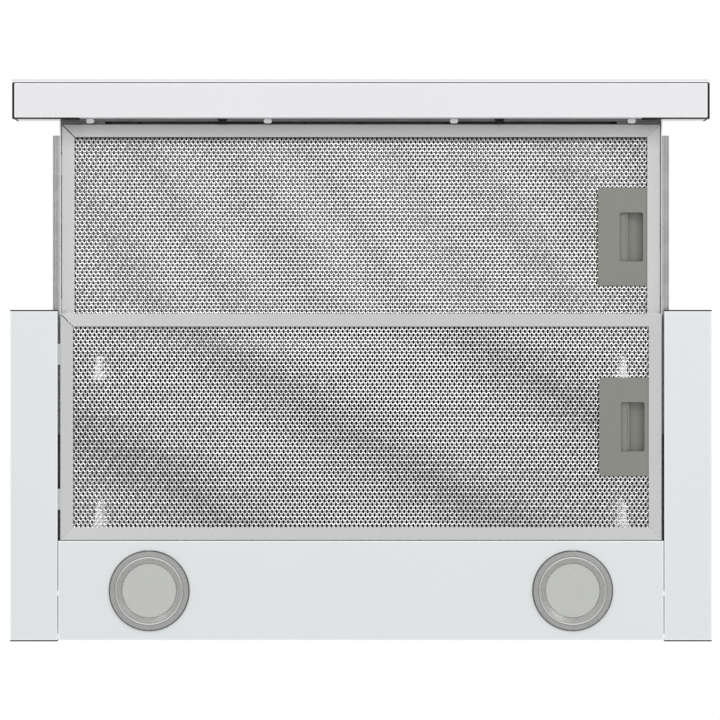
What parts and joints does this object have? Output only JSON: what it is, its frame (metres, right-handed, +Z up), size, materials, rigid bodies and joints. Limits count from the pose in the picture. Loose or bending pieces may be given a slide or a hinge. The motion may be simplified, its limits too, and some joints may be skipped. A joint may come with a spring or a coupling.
{
  "type": "under cabinet range hood",
  "caption": "Telescopic under-cabinet range hood with a pull-out visor, framed mesh grease filters, round lamps, slide rails, fan and duct outlet.",
  "frame": {"origin": "cabinet's underside, at the centre of the four cabinet screws, midway along the fixed body", "axes": "+Z up into the cabinet, -Y towards the front (the way the visor pulls out), +X along the hood's width"},
  "size_m": [0.6, 0.4818, 0.2134],
  "materials": {
    "white_paint": "satin powder coat",
    "galvanised_steel": "galvanised, dull",
    "white_plastic": "satin",
    "black_rubber": "matte",
    "black_plastic": "matte",
    "brushed_nickel": "brushed",
    "frosted_lens": "frosted",
    "filter_aluminium": "mill finish",
    "grey_plastic": "satin",
    "fan_plastic": "matte",
    "bare_steel": "bright zinc"
  },
  "bodies": {
    "hood": {"top_deck": "galvanised_steel", "side_trim_left": "white_paint", "side_trim_right": "white_paint", "end_buffers": "black_rubber", "lamp_panel": "white_paint", "deck_guides": "white_plastic", "control_strip": "white_plastic", "switch_block": "black_plastic", "visor_switch": "black_plastic", "housing_shell": "galvanised_steel", "housing_side_left": "galvanised_steel", "housing_side_right": "galvanised_steel", "housing_screws": "bare_steel", "lamp_bezel_left": "brushed_nickel", "lamp_bezel_right": "brushed_nickel", "lamp_lenses": "frosted_lens", "lamp_bodies": "filter_aluminium", "lamp_clips": "bare_steel", "outlet_collar": "black_plastic", "flap_pin": "bare_steel", "scroll_left": "fan_plastic", "scroll_right": "fan_plastic", "motor": "bare_steel", "motor_bracket": "bare_steel", "capacitor": "filter_aluminium", "terminal_box": "grey_plastic", "terminal_lid": "grey_plastic", "cable_gland": "black_plastic", "led_driver": "grey_plastic", "fixed_rails": "galvanised_steel"},
    "visor": {"moving_rails": "galvanised_steel", "visor_side_left": "white_paint", "visor_side_right": "white_paint", "visor_front_wall": "white_paint", "visor_cover": "white_paint", "visor_rear_bar": "galvanised_steel", "fascia_profile": "white_paint", "fascia_plate": "white_paint", "fascia_end_caps": "black_plastic", "fascia_rivets": "white_plastic", "fascia_clips": "black_plastic", "front_filter_frame": "filter_aluminium", "front_filter_mesh": "filter_aluminium", "front_latch_case": "grey_plastic", "front_latch_spring": "bare_steel"},
    "rear_filter": {"rear_filter_frame": "filter_aluminium", "rear_filter_mesh": "filter_aluminium", "rear_latch_case": "grey_plastic", "rear_latch_spring": "bare_steel"},
    "front_latch": {"front_latch_slider": "grey_plastic"},
    "rear_latch": {"rear_latch_slider": "grey_plastic"},
    "ball_cages": {"ball_cages": "bare_steel"},
    "fan_rotor": {"impeller": "fan_plastic", "motor_shaft": "bare_steel"},
    "flap_front": {"flap_front": "fan_plastic"},
    "flap_rear": {"flap_rear": "fan_plastic"},
    "button_light": {"button_light": "white_plastic"},
    "button_speed_1": {"button_speed_1": "white_plastic"},
    "button_speed_2": {"button_speed_2": "white_plastic"},
    "button_speed_3": {"button_speed_3": "white_plastic"}
  },
  "joints": [
    {"name": "visor_slide", "type": "slide", "parent": "hood", "child": "visor", "axis": [0, 1, 0], "range_m": [0, 0.163]},
    {"name": "ball_cage_slide", "type": "slide", "parent": "hood", "child": "ball_cages", "axis": [0, 1, 0], "range_m": [0, 0.0815]},
    {"name": "rear_filter_swing", "type": "hinge", "parent": "hood", "child": "rear_filter", "pos_m": [-0.2567, -0.0417, -0.0444], "axis": [0, 1, 0], "range_deg": [0, 80]},
    {"name": "front_latch_slide", "type": "slide", "parent": "visor", "child": "front_latch", "axis": [-1, 0, 0], "range_m": [0, 0.006], "stiffness_N_per_m": 350, "springref_m": -0.003, "deforming": ["front_latch_spring"]},
    {"name": "rear_latch_slide", "type": "slide", "parent": "rear_filter", "child": "rear_latch", "axis": [-1, 0, 0], "range_m": [0, 0.006], "stiffness_N_per_m": 350, "springref_m": -0.003, "deforming": ["rear_latch_spring"]},
    {"name": "fan_spin", "type": "hinge", "parent": "hood", "child": "fan_rotor", "pos_m": [0, -0.007, 0.064], "axis": [1, 0, 0], "continuous": true},
    {"name": "flap_front_swing", "type": "hinge", "parent": "hood", "child": "flap_front", "pos_m": [0, 0, 0.15], "axis": [-1, 0, 0], "range_deg": [0, 75]},
    {"name": "flap_rear_swing", "type": "hinge", "parent": "hood", "child": "flap_rear", "pos_m": [0, 0, 0.15], "axis": [1, 0, 0], "range_deg": [0, 75]},
    {"name": "button_light_press", "type": "slide", "parent": "hood", "child": "button_light", "axis": [0, 1, 0], "range_m": [0, 0.002], "stiffness_N_per_m": 400, "springref_m": -0.001},
    {"name": "button_speed_1_press", "type": "slide", "parent": "hood", "child": "button_speed_1", "axis": [0, 1, 0], "range_m": [0, 0.002], "stiffness_N_per_m": 400, "springref_m": -0.001},
    {"name": "button_speed_2_press", "type": "slide", "parent": "hood", "child": "button_speed_2", "axis": [0, 1, 0], "range_m": [0, 0.002], "stiffness_N_per_m": 400, "springref_m": -0.001},
    {"name": "button_speed_3_press", "type": "slide", "parent": "hood", "child": "button_speed_3", "axis": [0, 1, 0], "range_m": [0, 0.002], "stiffness_N_per_m": 400, "springref_m": -0.001}
  ],
  "couplings": [
    {"joint": "ball_cage_slide", "follows": "visor_slide", "ratio": 0.5}
  ]
}
